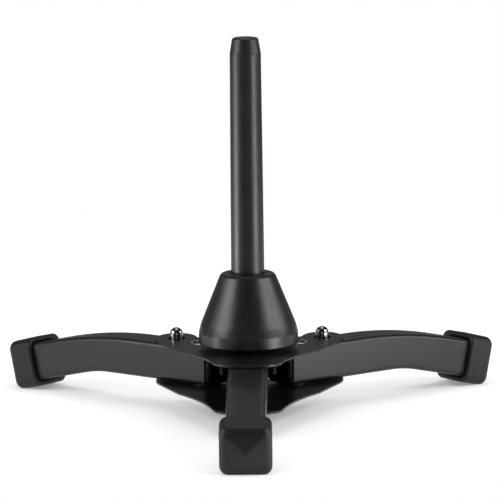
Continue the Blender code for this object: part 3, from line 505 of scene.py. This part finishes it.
def turned_mesh(name, profile, closed=False, steps=SMALL_STEPS):
    """Spin a profile of (radius, height) points round Z."""
    work = bmesh.new()
    points = [work.verts.new((radius, 0.0, height)) for radius, height in profile]
    pairs = list(zip(points, points[1:]))
    if closed:
        pairs.append((points[-1], points[0]))
    edges = [work.edges.new(pair) for pair in pairs]
    bmesh.ops.spin(
        work, geom=points + edges, axis=(0, 0, 1), cent=(0, 0, 0), angle=math.tau, steps=steps
    )
    bmesh.ops.remove_doubles(work, verts=work.verts, dist=TINY)
    bmesh.ops.recalc_face_normals(work, faces=work.faces)
    return mesh_from(name, work)


def ring_profile(inner, outer, bottom, top, edge=RING_EDGE):
    """Closed profile of a ring with softened edges."""
    return softened([
        (inner, top, edge), (outer, top, edge), (outer, bottom, edge), (inner, bottom, edge)
    ])


def add_turned(cad_node, corners, slot, body, place, steps=SMALL_STEPS):
    """Add a turned piece whose corners run from the axis down its outer side and back to the axis."""
    mesh = turned_mesh(cad_node, softened(corners), False, steps)
    return add_piece(cad_node, mesh, slot, body, place)


def add_ring(cad_node, inner, outer, slot, body, place):
    """Add a ring between its CAD node's two heights."""
    profile = ring_profile(inner, outer, low(cad_node), high(cad_node))
    return add_piece(cad_node, turned_mesh(cad_node, profile, True), slot, body, place)


def add_plate(cad_node, outline, holes):
    """Add a plate with softened edges, cut from its outline and its holes."""
    bottom = low(cad_node)
    top = high(cad_node)
    curve = bpy.data.curves.new(cad_node, "CURVE")
    curve.dimensions = "2D"
    curve.fill_mode = "BOTH"
    curve.extrude = (top - bottom) / 2 - PLATE_EDGE
    curve.bevel_depth = PLATE_EDGE
    curve.bevel_resolution = 3
    curve.offset = -PLATE_EDGE
    for points in [outline] + holes:
        spline = curve.splines.new("POLY")
        spline.points.add(len(points) - 1)
        spline.use_cyclic_u = True
        for index, (x, y) in enumerate(points):
            spline.points[index].co = (x, y, 0.0, 1.0)
    mesh = evaluated_mesh(loose_object(cad_node, curve))
    work = bmesh.new()
    work.from_mesh(mesh)
    bmesh.ops.remove_doubles(work, verts=work.verts, dist=TINY)
    work.to_mesh(mesh)
    work.free()
    return add_piece(cad_node, mesh, "plate_paint", "base", at(AXIS, 0.0, (bottom + top) / 2))


def fall(run, vertex, radius):
    """How far a leg's top or bottom line has fallen at a distance from the stand's axis."""
    start = vertex - radius * math.tan(LEG_TILT / 2)
    end = start + radius * math.sin(LEG_TILT)
    if run <= start:
        return 0.0
    if run <= end:
        return radius - math.sqrt(radius ** 2 - (run - start) ** 2)
    return (run - vertex) * math.tan(LEG_TILT)


def leg_section(run):
    """Middle point, lean and half height of the leg's section whose top edge is at this distance."""
    lean = math.asin(min(max((run - TOP_BEND_START) / TOP_BEND_RADIUS, 0.0), math.sin(LEG_TILT)))
    top = Vector((run, LEG_TOP - fall(run, TOP_VERTEX, TOP_BEND_RADIUS)))
    down = Vector((-math.sin(lean), -math.cos(lean)))
    depth = LEG_WIDTH
    for _ in range(SECTION_PASSES):
        below = top + down * depth
        bottom = LEG_BOTTOM - fall(below.x, BOTTOM_VERTEX, BOTTOM_BEND_RADIUS)
        depth += (below.y - bottom) / math.cos(lean)
    return top + down * depth / 2, lean, depth / 2


def loft(name, rings, closed):
    """Skin over rings that have as many points each; an open loft is capped at both ends."""
    work = bmesh.new()
    loops = [[work.verts.new(point) for point in ring] for ring in rings]
    pairs = list(zip(loops, loops[1:]))
    if closed:
        pairs.append((loops[-1], loops[0]))
    for first, second in pairs:
        for index in range(len(first)):
            following = (index + 1) % len(first)
            work.faces.new((first[index], first[following], second[following], second[index]))
    if not closed:
        for ring in (loops[0], loops[-1]):
            work.faces.new(ring)
    bmesh.ops.recalc_face_normals(work, faces=work.faces)
    return mesh_from(name, work)


def leg_ring(run, inset, origin, slant=0.0):
    """Points of the leg's section at a distance, drawn in by the inset.

    The slant is how much further in the +Y wall runs than the other; below zero it is the -Y wall.
    """
    centre, lean, half_height = leg_section(run)
    half_width = LEG_WIDTH / 2 - inset
    section = square_ring(half_width, half_height - inset, LEG_CORNER - inset, LEG_CORNER_STEPS)
    points = []
    for side, height in section:
        x = centre.x + height * math.sin(lean) - origin - abs(slant) / 2 - slant * side / LEG_WIDTH
        points.append((x, side, centre.y + height * math.cos(lean)))
    return points


def leg_mesh(name, root, origin, holes, slant=0.0):
    """Square tube with softened ends, and round holes given as (reach, radius, bottom, top)."""
    bend = TOP_BEND_END - TOP_BEND_START
    runs = [TOP_BEND_START + bend * step / BEND_STATIONS for step in range(BEND_STATIONS + 1)]
    runs.append(LEG_END)
    outer = [leg_ring(root + LEG_EDGE, 0.0, origin, slant)]
    outer += [leg_ring(run, 0.0, origin) for run in runs]
    inner = [leg_ring(run, LEG_WALL, origin) for run in reversed(runs)]
    inner.append(leg_ring(root + LEG_EDGE, LEG_WALL, origin, slant))
    lips = [leg_ring(root, inset, origin, slant) for inset in (LEG_WALL - LEG_EDGE, LEG_EDGE)]
    tube = loose_object(name, loft(name, outer + inner + lips, True))
    cutters = []
    for reach, radius, bottom, top in holes:
        profile = [(0.0, top), (radius, top), (radius, bottom), (0.0, bottom)]
        cutter = loose_object(f"{name}_cutter", turned_mesh(name, profile))
        cutter.location.x = reach - origin
        modifier = tube.modifiers.new("hole", "BOOLEAN")
        modifier.solver = "EXACT"
        modifier.object = cutter
        cutters.append(cutter)
    mesh = evaluated_mesh(tube)
    for cutter in cutters:
        bpy.data.objects.remove(cutter, do_unlink=True)
    return mesh


def foot_rings():
    """Rings from the socket's floor out over the mouth, along the outside and in to the crown."""
    mouth = FOOT_END - FOOT_LENGTH
    socket = LEG_WIDTH / 2 + SEAM
    flat = FOOT_HALF - FOOT_ROUNDING
    slope = math.atan2(FOOT_CROWN, FOOT_HALF)
    rings = []

    def ring(x, half, corner):
        section = square_ring(half, half, corner, FOOT_CORNER_STEPS)
        rings.append([(x, side, height) for side, height in section])

    for share in SOCKET_SHARES:
        ring(FOOT_END - FOOT_END_WALL, socket * share, LEG_CORNER * share)
    ring(mouth + FOOT_LIP, socket, LEG_CORNER)
    for step in range(FOOT_EDGE_STEPS + 1):
        angle = math.pi * step / FOOT_EDGE_STEPS
        half = (FOOT_HALF + socket) / 2 - (FOOT_HALF - socket) / 2 * math.cos(angle)
        corner = LEG_CORNER + (FOOT_ROUNDING - LEG_CORNER) * step / FOOT_EDGE_STEPS
        ring(mouth + FOOT_LIP * (1.0 - math.sin(angle)), half, corner)
    for x, inset in CREASE_PROFILE:
        depth = FOOT_CREASE * inset
        ring(mouth + FOOT_COLLAR + x * FOOT_CREASE, FOOT_HALF - depth, FOOT_ROUNDING - depth)
    last = math.pi / 2 - slope
    rim = FOOT_END + FOOT_TIP - (flat + FOOT_ROUNDING * math.cos(last)) * math.tan(slope)
    rim -= FOOT_ROUNDING * math.sin(last)
    for step in range(FOOT_END_STEPS + 1):
        angle = last * step / FOOT_END_STEPS
        half = flat + FOOT_ROUNDING * math.cos(angle)
        corner = FOOT_RIDGE + (FOOT_ROUNDING - FOOT_RIDGE) * math.cos(angle)
        ring(rim + FOOT_ROUNDING * math.sin(angle), half, corner)
    edge = flat + FOOT_ROUNDING * math.cos(last)
    for share in TIP_SHARES:
        ring(FOOT_END + FOOT_TIP - edge * share * math.tan(slope), edge * share, FOOT_RIDGE * share)
    return rings


def foot_mesh(name):
    """Rubber foot, pushed over the leg's end, tilted with it and trimmed flat on the floor."""
    mesh = loft(name, foot_rings(), False)
    bend = Matrix.Translation((BEND_REACH, 0.0, LEG_MIDDLE))
    mesh.transform(bend @ Matrix.Rotation(LEG_TILT, 4, "Y"))
    work = bmesh.new()
    work.from_mesh(mesh)
    everything = work.verts[:] + work.edges[:] + work.faces[:]
    cut = bmesh.ops.bisect_plane(
        work, geom=everything, plane_co=(0, 0, 0), plane_no=(0, 0, 1), clear_inner=True, dist=TINY
    )
    rim = [item for item in cut["geom_cut"] if isinstance(item, bmesh.types.BMEdge)]
    if rim:
        bmesh.ops.contextual_create(work, geom=rim)
    bmesh.ops.recalc_face_normals(work, faces=work.faces)
    work.to_mesh(mesh)
    work.free()
    return mesh


def spring_mesh(name, radius, bottom, top, turns):
    """Coil of wire between two heights, its ends bent straight up and down."""
    curve = bpy.data.curves.new(name, "CURVE")
    curve.dimensions = "3D"
    curve.bevel_depth = SPRING_WIRE / 2
    curve.bevel_resolution = 3
    curve.use_fill_caps = True
    lower = bottom + SPRING_WIRE
    upper = top - SPRING_WIRE
    count = round(turns * CURL_POINTS)
    points = [(radius, 0.0, bottom)]
    for step in range(count + 1):
        angle = math.tau * step / CURL_POINTS
        height = lower + (upper - lower) * step / count
        points.append((radius * math.cos(angle), radius * math.sin(angle), height))
    points.append((points[-1][0], points[-1][1], top))
    spline = curve.splines.new("POLY")
    spline.points.add(len(points) - 1)
    for index, point in enumerate(points):
        spline.points[index].co = (*point, 1.0)
    return evaluated_mesh(loose_object(name, curve))


def add_cone():
    """Bell cone with its band, its rounded rim and the boss inside."""
    slope = (CONE_BREAK_RADIUS - CONE_TOP_RADIUS) / (CONE_TOP - CONE_BOTTOM - CONE_BREAK_HEIGHT)
    roof = CONE_TOP - CONE_ROOF
    inner_roof = CONE_TOP_RADIUS + slope * CONE_ROOF - CONE_WALL
    band_top = CONE_BOTTOM + CONE_BAND
    bore = BOLT_RADIUS + GAP
    sink = CONE_TOP - PEG_SINK
    recess = PEG_FOOT_RADIUS + GAP
    corners = [
        (recess, CONE_TOP, SOFT_EDGE),
        (CONE_TOP_RADIUS, CONE_TOP, CONE_SHOULDER),
        (CONE_BREAK_RADIUS, CONE_BOTTOM + CONE_BREAK_HEIGHT, CONE_BREAK_ROUNDING),
        (CONE_RADIUS - CONE_STEP, band_top + CONE_STEP, 0.0),
        (CONE_RADIUS, band_top, FINE_EDGE),
        (CONE_RADIUS, CONE_BOTTOM, CONE_RIM_ROUNDING),
        (CONE_RADIUS - CONE_WALL, CONE_BOTTOM, CONE_RIM_ROUNDING),
        (CONE_RADIUS - CONE_WALL, band_top, 0.0),
        (CONE_BREAK_RADIUS - CONE_WALL, CONE_BOTTOM + CONE_BREAK_HEIGHT, 0.0),
        (inner_roof, roof, ROOF_EDGE),
        (CONE_BOSS_RADIUS, roof, ROOF_EDGE),
        (CONE_BOSS_RADIUS, UPPER_TOP + SEAM, SOFT_EDGE),
        (bore, UPPER_TOP + SEAM, SOFT_EDGE),
        (bore, sink, SMALL_EDGE),
        (recess, sink, SMALL_EDGE),
    ]
    mesh = turned_mesh("bell_cone", softened(corners), True, ROUND_STEPS)
    add_piece("bell_cone", mesh, "cone_plastic", "base", at(AXIS))


def add_peg():
    """Tapered peg with its web and socket, and the chamfered cap on top."""
    foot = low("peg_tube")
    insert_radius = (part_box("peg_insert")[1].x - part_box("peg_insert")[0].x) / 2 + GAP
    socket_top = high("peg_insert") + GAP
    web_top = socket_top + PEG_WEB
    bore = PEG_TOP_RADIUS - PEG_WALL
    add_turned("peg_tube", [
        (0.0, web_top, 0.0),
        (bore, web_top, ROUND_EDGE),
        (bore, PEG_TOP - SEAM, SMALL_EDGE),
        (PEG_TOP_RADIUS, PEG_TOP - SEAM, FINE_EDGE),
        (PEG_FOOT_RADIUS, foot, SOFT_EDGE),
        (insert_radius, foot, SMALL_EDGE),
        (insert_radius, socket_top, SMALL_EDGE),
        (0.0, socket_top, 0.0),
    ], "peg_plastic", "base", at(AXIS), ROUND_STEPS)
    plug_foot = low("peg_cap")
    plug = bore - GAP
    add_turned("peg_cap", [
        (0.0, STAND_TOP, 0.0),
        (CAP_SHOULDER_RADIUS, PEG_TOP + CAP_SHOULDER_HEIGHT, CAP_ROUNDING),
        (PEG_TOP_RADIUS, PEG_TOP, FINE_EDGE),
        (plug, PEG_TOP, FINE_EDGE),
        (plug, plug_foot, PLUG_EDGE),
        (0.0, plug_foot, 0.0),
    ], "peg_plastic", "base", at(AXIS), ROUND_STEPS)


def add_side(side):
    """Fine pieces of one folding leg, its foot, its pivot and its lock."""
    pivot = PIVOTS[side]
    heading = HEADINGS[side]
    leg_body = f"{side}_leg"
    hinge = at(pivot, heading)
    lock = hinge @ Matrix.Translation((LOCK_REACH - PIVOT_REACH, 0.0, 0.0))
    holes = [
        (PIVOT_REACH, PIVOT_SHANK_RADIUS + GAP, LEG_BOTTOM - CUT_PAST, LEG_TOP + CUT_PAST),
        (LOCK_REACH, BUTTON_RADIUS + GAP, LEG_ROOF - CUT_PAST, LEG_TOP + CUT_PAST),
    ]
    slant = ROOT_SLANT if side == "right" else -ROOT_SLANT
    tube = leg_mesh(leg_body, SIDE_LEG_ROOT, PIVOT_REACH, holes, slant)
    add_piece(leg_body, tube, "leg_paint", leg_body, hinge)
    foot = foot_mesh(f"{side}_foot")
    back = Matrix.Translation((-PIVOT_REACH, 0.0, 0.0))
    add_piece(f"{side}_foot", foot, "foot_rubber", leg_body, hinge @ back)

    bush = f"{side}_pivot_bush"
    add_ring(bush, BUSH_RADIUS - BUSH_WALL, BUSH_RADIUS, "bright_steel", leg_body, hinge)
    outer = (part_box(f"{side}_leg_washer")[1].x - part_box(f"{side}_leg_washer")[0].x) / 2
    washer = f"{side}_leg_washer"
    add_ring(washer, PIVOT_SHANK_RADIUS + GAP, outer, "zinc_steel", "base", hinge)
    pin = f"{side}_pivot_pin"
    head = LEG_TOP + SEAM
    rivet = LOWER_BOTTOM - SEAM
    dome = arc((0.0, head), (PIVOT_HEAD_RADIUS, PIVOT_HEAD_HEIGHT), math.pi / 2, 0.0)
    dome[0] = (0.0, head + PIVOT_HEAD_HEIGHT)
    corners = [(x, z, 0.0) for x, z in dome]
    corners += [
        (PIVOT_SHANK_RADIUS, head, 0.0),
        (PIVOT_SHANK_RADIUS, rivet, 0.0),
        (PIVOT_RIVET_RADIUS, rivet, SMALL_EDGE),
        (PIVOT_RIVET_RADIUS, low(pin), ROUND_EDGE),
        (0.0, low(pin), 0.0),
    ]
    add_turned(pin, corners, "bright_steel", "base", hinge)
    coil = f"{side}_pivot_spring"
    bottom = low(coil)
    top = high(coil)
    turns = (top - bottom - 2 * SPRING_WIRE) / PIVOT_SPRING_PITCH
    mesh = spring_mesh(coil, PIVOT_SPRING_RADIUS, bottom, top, turns)
    add_piece(coil, mesh, "spring_steel", leg_body, hinge, False)

    button = f"{side}_lock_button"
    flange_top = LEG_ROOF - GAP
    dome_foot = UPPER_TOP + BUTTON_STRAIGHT
    dome = arc((0.0, dome_foot), (BUTTON_RADIUS, BUTTON_TOP - dome_foot), math.pi / 2, 0.0)
    dome[0] = (0.0, BUTTON_TOP)
    corners = [(x, z, 0.0) for x, z in dome]
    corners += [
        (BUTTON_RADIUS, flange_top, FINE_EDGE),
        (BUTTON_FLANGE_RADIUS, flange_top, SMALL_EDGE),
        (BUTTON_FLANGE_RADIUS, low(button), SMALL_EDGE),
        (BUTTON_BORE_RADIUS, low(button), SMALL_EDGE),
        (BUTTON_BORE_RADIUS, BUTTON_TOP - BUTTON_TOP_WALL, SMALL_EDGE),
        (0.0, BUTTON_TOP - BUTTON_TOP_WALL, 0.0),
    ]
    mesh = turned_mesh(button, softened(corners))
    knob = add_piece(button, mesh, "button_chrome", button, lock, False)
    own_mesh(knob)

    spring = f"{side}_lock_spring"
    mesh = spring_mesh(spring, LOCK_SPRING_RADIUS, low(spring), high(spring), LOCK_SPRING_TURNS)
    coil = add_piece(spring, mesh, "spring_steel", leg_body, lock, False)
    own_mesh(coil)


def add_front():
    """Fine pieces of the fixed leg and its foot."""
    place = at(AXIS, -math.pi / 2)
    sleeve = (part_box("centre_sleeve")[1].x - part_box("centre_sleeve")[0].x) / 2
    holes = [(0.0, sleeve + GAP, LEG_BOTTOM - CUT_PAST, LEG_TOP + CUT_PAST)]
    for reach in SCREW_REACHES:
        holes.append((reach, SCREW_RADIUS + GAP, LEG_BOTTOM - CUT_PAST, LEG_FLOOR + CUT_PAST))
    tube = leg_mesh("front_leg", -FRONT_LEG_BACK, 0.0, holes)
    add_piece("front_leg", tube, "leg_paint", "base", place)
    add_piece("front_foot", foot_mesh("front_foot"), "foot_rubber", "base", place)


def add_plates():
    """Both plates, with the holes that CAD gives them."""
    bolt_hole = circle((0.0, 0.0), BOLT_RADIUS + GAP)
    pivots = [(side * PIVOT[0], PIVOT[1]) for side in (-1, 1)]
    lobes = [(side * LOBE[0], LOBE[1]) for side in (-1, 1)]
    stops = [middle(f"{side}_fold_stop") - AXIS for side in ("left", "right")]
    lower = [bolt_hole]
    lower += [circle((0.0, -reach), SCREW_RADIUS + GAP) for reach in SCREW_REACHES]
    lower += [circle(place, PIVOT_SHANK_RADIUS + GAP) for place in pivots]
    upper = [bolt_hole]
    upper += [circle(place, BUSH_RADIUS + GAP, ROUND_STEPS) for place in pivots]
    upper += [circle(place, LOCK_HOLE_RADIUS) for place in lobes]
    upper += [circle(place, STOP_SHANK_RADIUS + GAP) for place in stops]
    add_plate("lower_plate", plate_outline(LOWER_FRONT_REACH), lower)
    add_plate("upper_plate", plate_outline(UPPER_FRONT_REACH), upper)


def add_stops():
    """Shouldered pins riveted into the upper plate."""
    for side in ("left", "right"):
        name = f"{side}_fold_stop"
        outer = (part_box(name)[1].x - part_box(name)[0].x) / 2
        shoulder = UPPER_BOTTOM - SEAM
        add_turned(name, [
            (0.0, high(name), 0.0),
            (STOP_SHANK_RADIUS, high(name), STOP_EDGE),
            (STOP_SHANK_RADIUS, shoulder, 0.0),
            (outer, shoulder, STOP_EDGE),
            (outer, low(name), SOFT_EDGE),
            (0.0, low(name), 0.0),
        ], "black_steel", "base", at(middle(name)))


def dress_cad_nodes():
    """Give every CAD node that stays its own procedural finish."""
    slots = {part["node"]: part["material_slot"] for part in frame["record"]["subparts"]}
    for name, item in frame["nodes"].items():
        if not item.hide_render:
            item.data.materials.clear()
            item.data.materials.append(FINISHES[slots[name]])
            item.data.shade_smooth()
            item.data.set_sharp_from_angle(angle=SHARP_ANGLE)


add_plates()
add_cone()
add_peg()
add_front()
add_side("left")
add_side("right")
add_stops()
dress_cad_nodes()


# Studio

LAMPS = (
    # name, azimuth from the camera's side, elevation, distance, width and height, watts
    ("left_low", -75.0, -7.0, 1.1, (0.2, 0.24), 0.9),
    ("left_edge", -83.0, -12.0, 1.1, (0.12, 0.12), 5.6),
    ("left_front", -69.0, 24.0, 1.1, (0.6, 0.6), 7.0),
    ("left_side", -96.0, 22.0, 1.1, (0.35, 0.4), 0.7),
    ("right_low", 63.0, -7.0, 1.1, (0.4, 0.24), 5.8),
    ("right_side", 90.0, 22.0, 1.1, (0.4, 0.5), 3.3),
    ("right_front", 65.0, 32.0, 1.1, (0.4, 0.4), 4.2),
    ("overhead", 180.0, 80.0, 1.2, (0.6, 0.6), 2.5),
    ("back_sky", 180.0, 38.0, 1.3, (1.2, 0.5), 0.9),
    ("front_low", 0.0, 5.0, 1.4, (0.3, 0.3), 0.5),
)
LAMP_TARGET_HEIGHT = 0.08
FLOOR_RADIUS = 0.45
FLOOR_BACK = 0.265                 # how far behind the peg its middle lies; it ends near the front foot
FLOOR_DROP = 0.02 * MM             # keeps the floor clear of the soles
FLOOR_SEGMENTS = 128
ROOM = 0.035                       # brightness of the dim room that gloss reflects
BACKDROP = 0.13                    # extra brightness low behind the object
FLOOR_GLOW = 0.22                  # light that the floor gives out, which keeps its shadows pale
AMBIENT = 0.5                      # light from all round, which only matt surfaces take in
ROOM_COLOUR = (0.97, 0.97, 1.0, 1.0)
WHITE = (1.0, 1.0, 1.0, 1.0)
BEHIND_RANGE = (0.2, 0.8)          # the backdrop begins and is full at these shares of +Y
LOWER_RANGE = (0.35, 0.65)         # the backdrop begins to fade and ends at these shares of +Z


def floor_finish(name, colour):
    """Matt finish for the floor."""
    made = bpy.data.materials.new(name)
    made.use_nodes = True
    shader = made.node_tree.nodes["Principled BSDF"]
    shader.inputs["Base Color"].default_value = (*colour, 1.0)
    shader.inputs["Roughness"].default_value = 1.0
    shader.inputs["Specular IOR Level"].default_value = 0.0
    shader.inputs["Emission Color"].default_value = WHITE
    shader.inputs["Emission Strength"].default_value = FLOOR_GLOW
    return made


def add_floor(radius):
    """Round pale floor."""
    work = bmesh.new()
    bmesh.ops.create_circle(work, cap_ends=True, segments=FLOOR_SEGMENTS, radius=radius)
    floor = loose_object("floor", mesh_from("floor", work))
    floor.data.materials.append(floor_finish("floor_paper", (0.9, 0.9, 0.9)))
    floor.location = (0.0, AXIS.y + FLOOR_BACK, -FLOOR_DROP)


def add_lamp(name, azimuth, elevation, distance, size, power):
    """Soft rectangular lamp that faces the stand and that the camera doesn't see."""
    data = bpy.data.lights.new(name, "AREA")
    data.shape = "RECTANGLE"
    data.size = size[0]
    data.size_y = size[1]
    data.energy = power
    lamp = loose_object(name, data)
    turn = math.radians(azimuth)
    rise = math.radians(elevation)
    target = Vector((AXIS.x, AXIS.y, LAMP_TARGET_HEIGHT))
    away = Vector((math.sin(turn) * math.cos(rise), -math.cos(turn) * math.cos(rise), math.sin(rise)))
    lamp.location = target + away * distance
    lamp.rotation_euler = (-away).to_track_quat("-Z", "Y").to_euler()
    lamp.visible_camera = False


def set_world():
    """White behind the object, and a dim room with a paler backdrop for what the object reflects."""
    world = bpy.data.worlds.new("studio")
    bpy.context.scene.world = world
    world.use_nodes = True
    tree = world.node_tree
    tree.nodes.clear()
    path = tree.nodes.new("ShaderNodeLightPath")
    direction = tree.nodes.new("ShaderNodeSeparateXYZ")
    tree.links.new(tree.nodes.new("ShaderNodeTexCoord").outputs["Generated"], direction.inputs[0])
    behind = ranged(tree, direction.outputs["Y"], 0.0, BACKDROP, *BEHIND_RANGE)
    lower = ranged(tree, direction.outputs["Z"], 1.0, 0.0, *LOWER_RANGE)
    paler = node(tree, "ShaderNodeMath", operation="MULTIPLY_ADD")
    tree.links.new(behind, paler.inputs[0])
    tree.links.new(lower, paler.inputs[1])
    paler.inputs[2].default_value = ROOM
    room = tree.nodes.new("ShaderNodeBackground")
    room.inputs["Color"].default_value = ROOM_COLOUR
    tree.links.new(paler.outputs[0], room.inputs["Strength"])
    ambient = node(tree, "ShaderNodeBackground", Strength=AMBIENT)
    white = tree.nodes.new("ShaderNodeBackground")
    white.inputs["Color"].default_value = WHITE
    ambient.inputs["Color"].default_value = WHITE
    lit = tree.nodes.new("ShaderNodeMixShader")
    tree.links.new(path.outputs["Is Diffuse Ray"], lit.inputs[0])
    tree.links.new(room.outputs[0], lit.inputs[1])
    tree.links.new(ambient.outputs[0], lit.inputs[2])
    either = tree.nodes.new("ShaderNodeMixShader")
    output = tree.nodes.new("ShaderNodeOutputWorld")
    tree.links.new(path.outputs["Is Camera Ray"], either.inputs[0])
    tree.links.new(lit.outputs[0], either.inputs[1])
    tree.links.new(white.outputs[0], either.inputs[2])
    tree.links.new(either.outputs[0], output.inputs["Surface"])


def add_camera():
    """Camera at the photo's viewing angle."""
    image_width = 500
    focal_pixels = 4654.0
    distance = 2.4
    height = 0.475
    heading = math.radians(0.795)
    pan = math.radians(-0.031)
    pitch = math.radians(9.16)
    roll = math.radians(-0.65)
    data = bpy.data.cameras.new("camera")
    data.sensor_width = 36.0
    data.lens = focal_pixels / image_width * data.sensor_width
    data.clip_start = 0.01
    data.clip_end = 100.0
    camera = loose_object("camera", data)
    side = AXIS.x + distance * math.sin(heading)
    place = Vector((side, AXIS.y - distance * math.cos(heading), height))
    turn = Matrix.Rotation(heading + pan, 4, "Z") @ Matrix.Rotation(math.pi / 2 - pitch, 4, "X")
    camera.matrix_world = Matrix.Translation(place) @ turn @ Matrix.Rotation(roll, 4, "Z")
    bpy.context.scene.camera = camera


add_floor(FLOOR_RADIUS)
for lamp_settings in LAMPS:
    add_lamp(*lamp_settings)
set_world()
add_camera()
bpy.context.scene.view_settings.view_transform = "Standard"
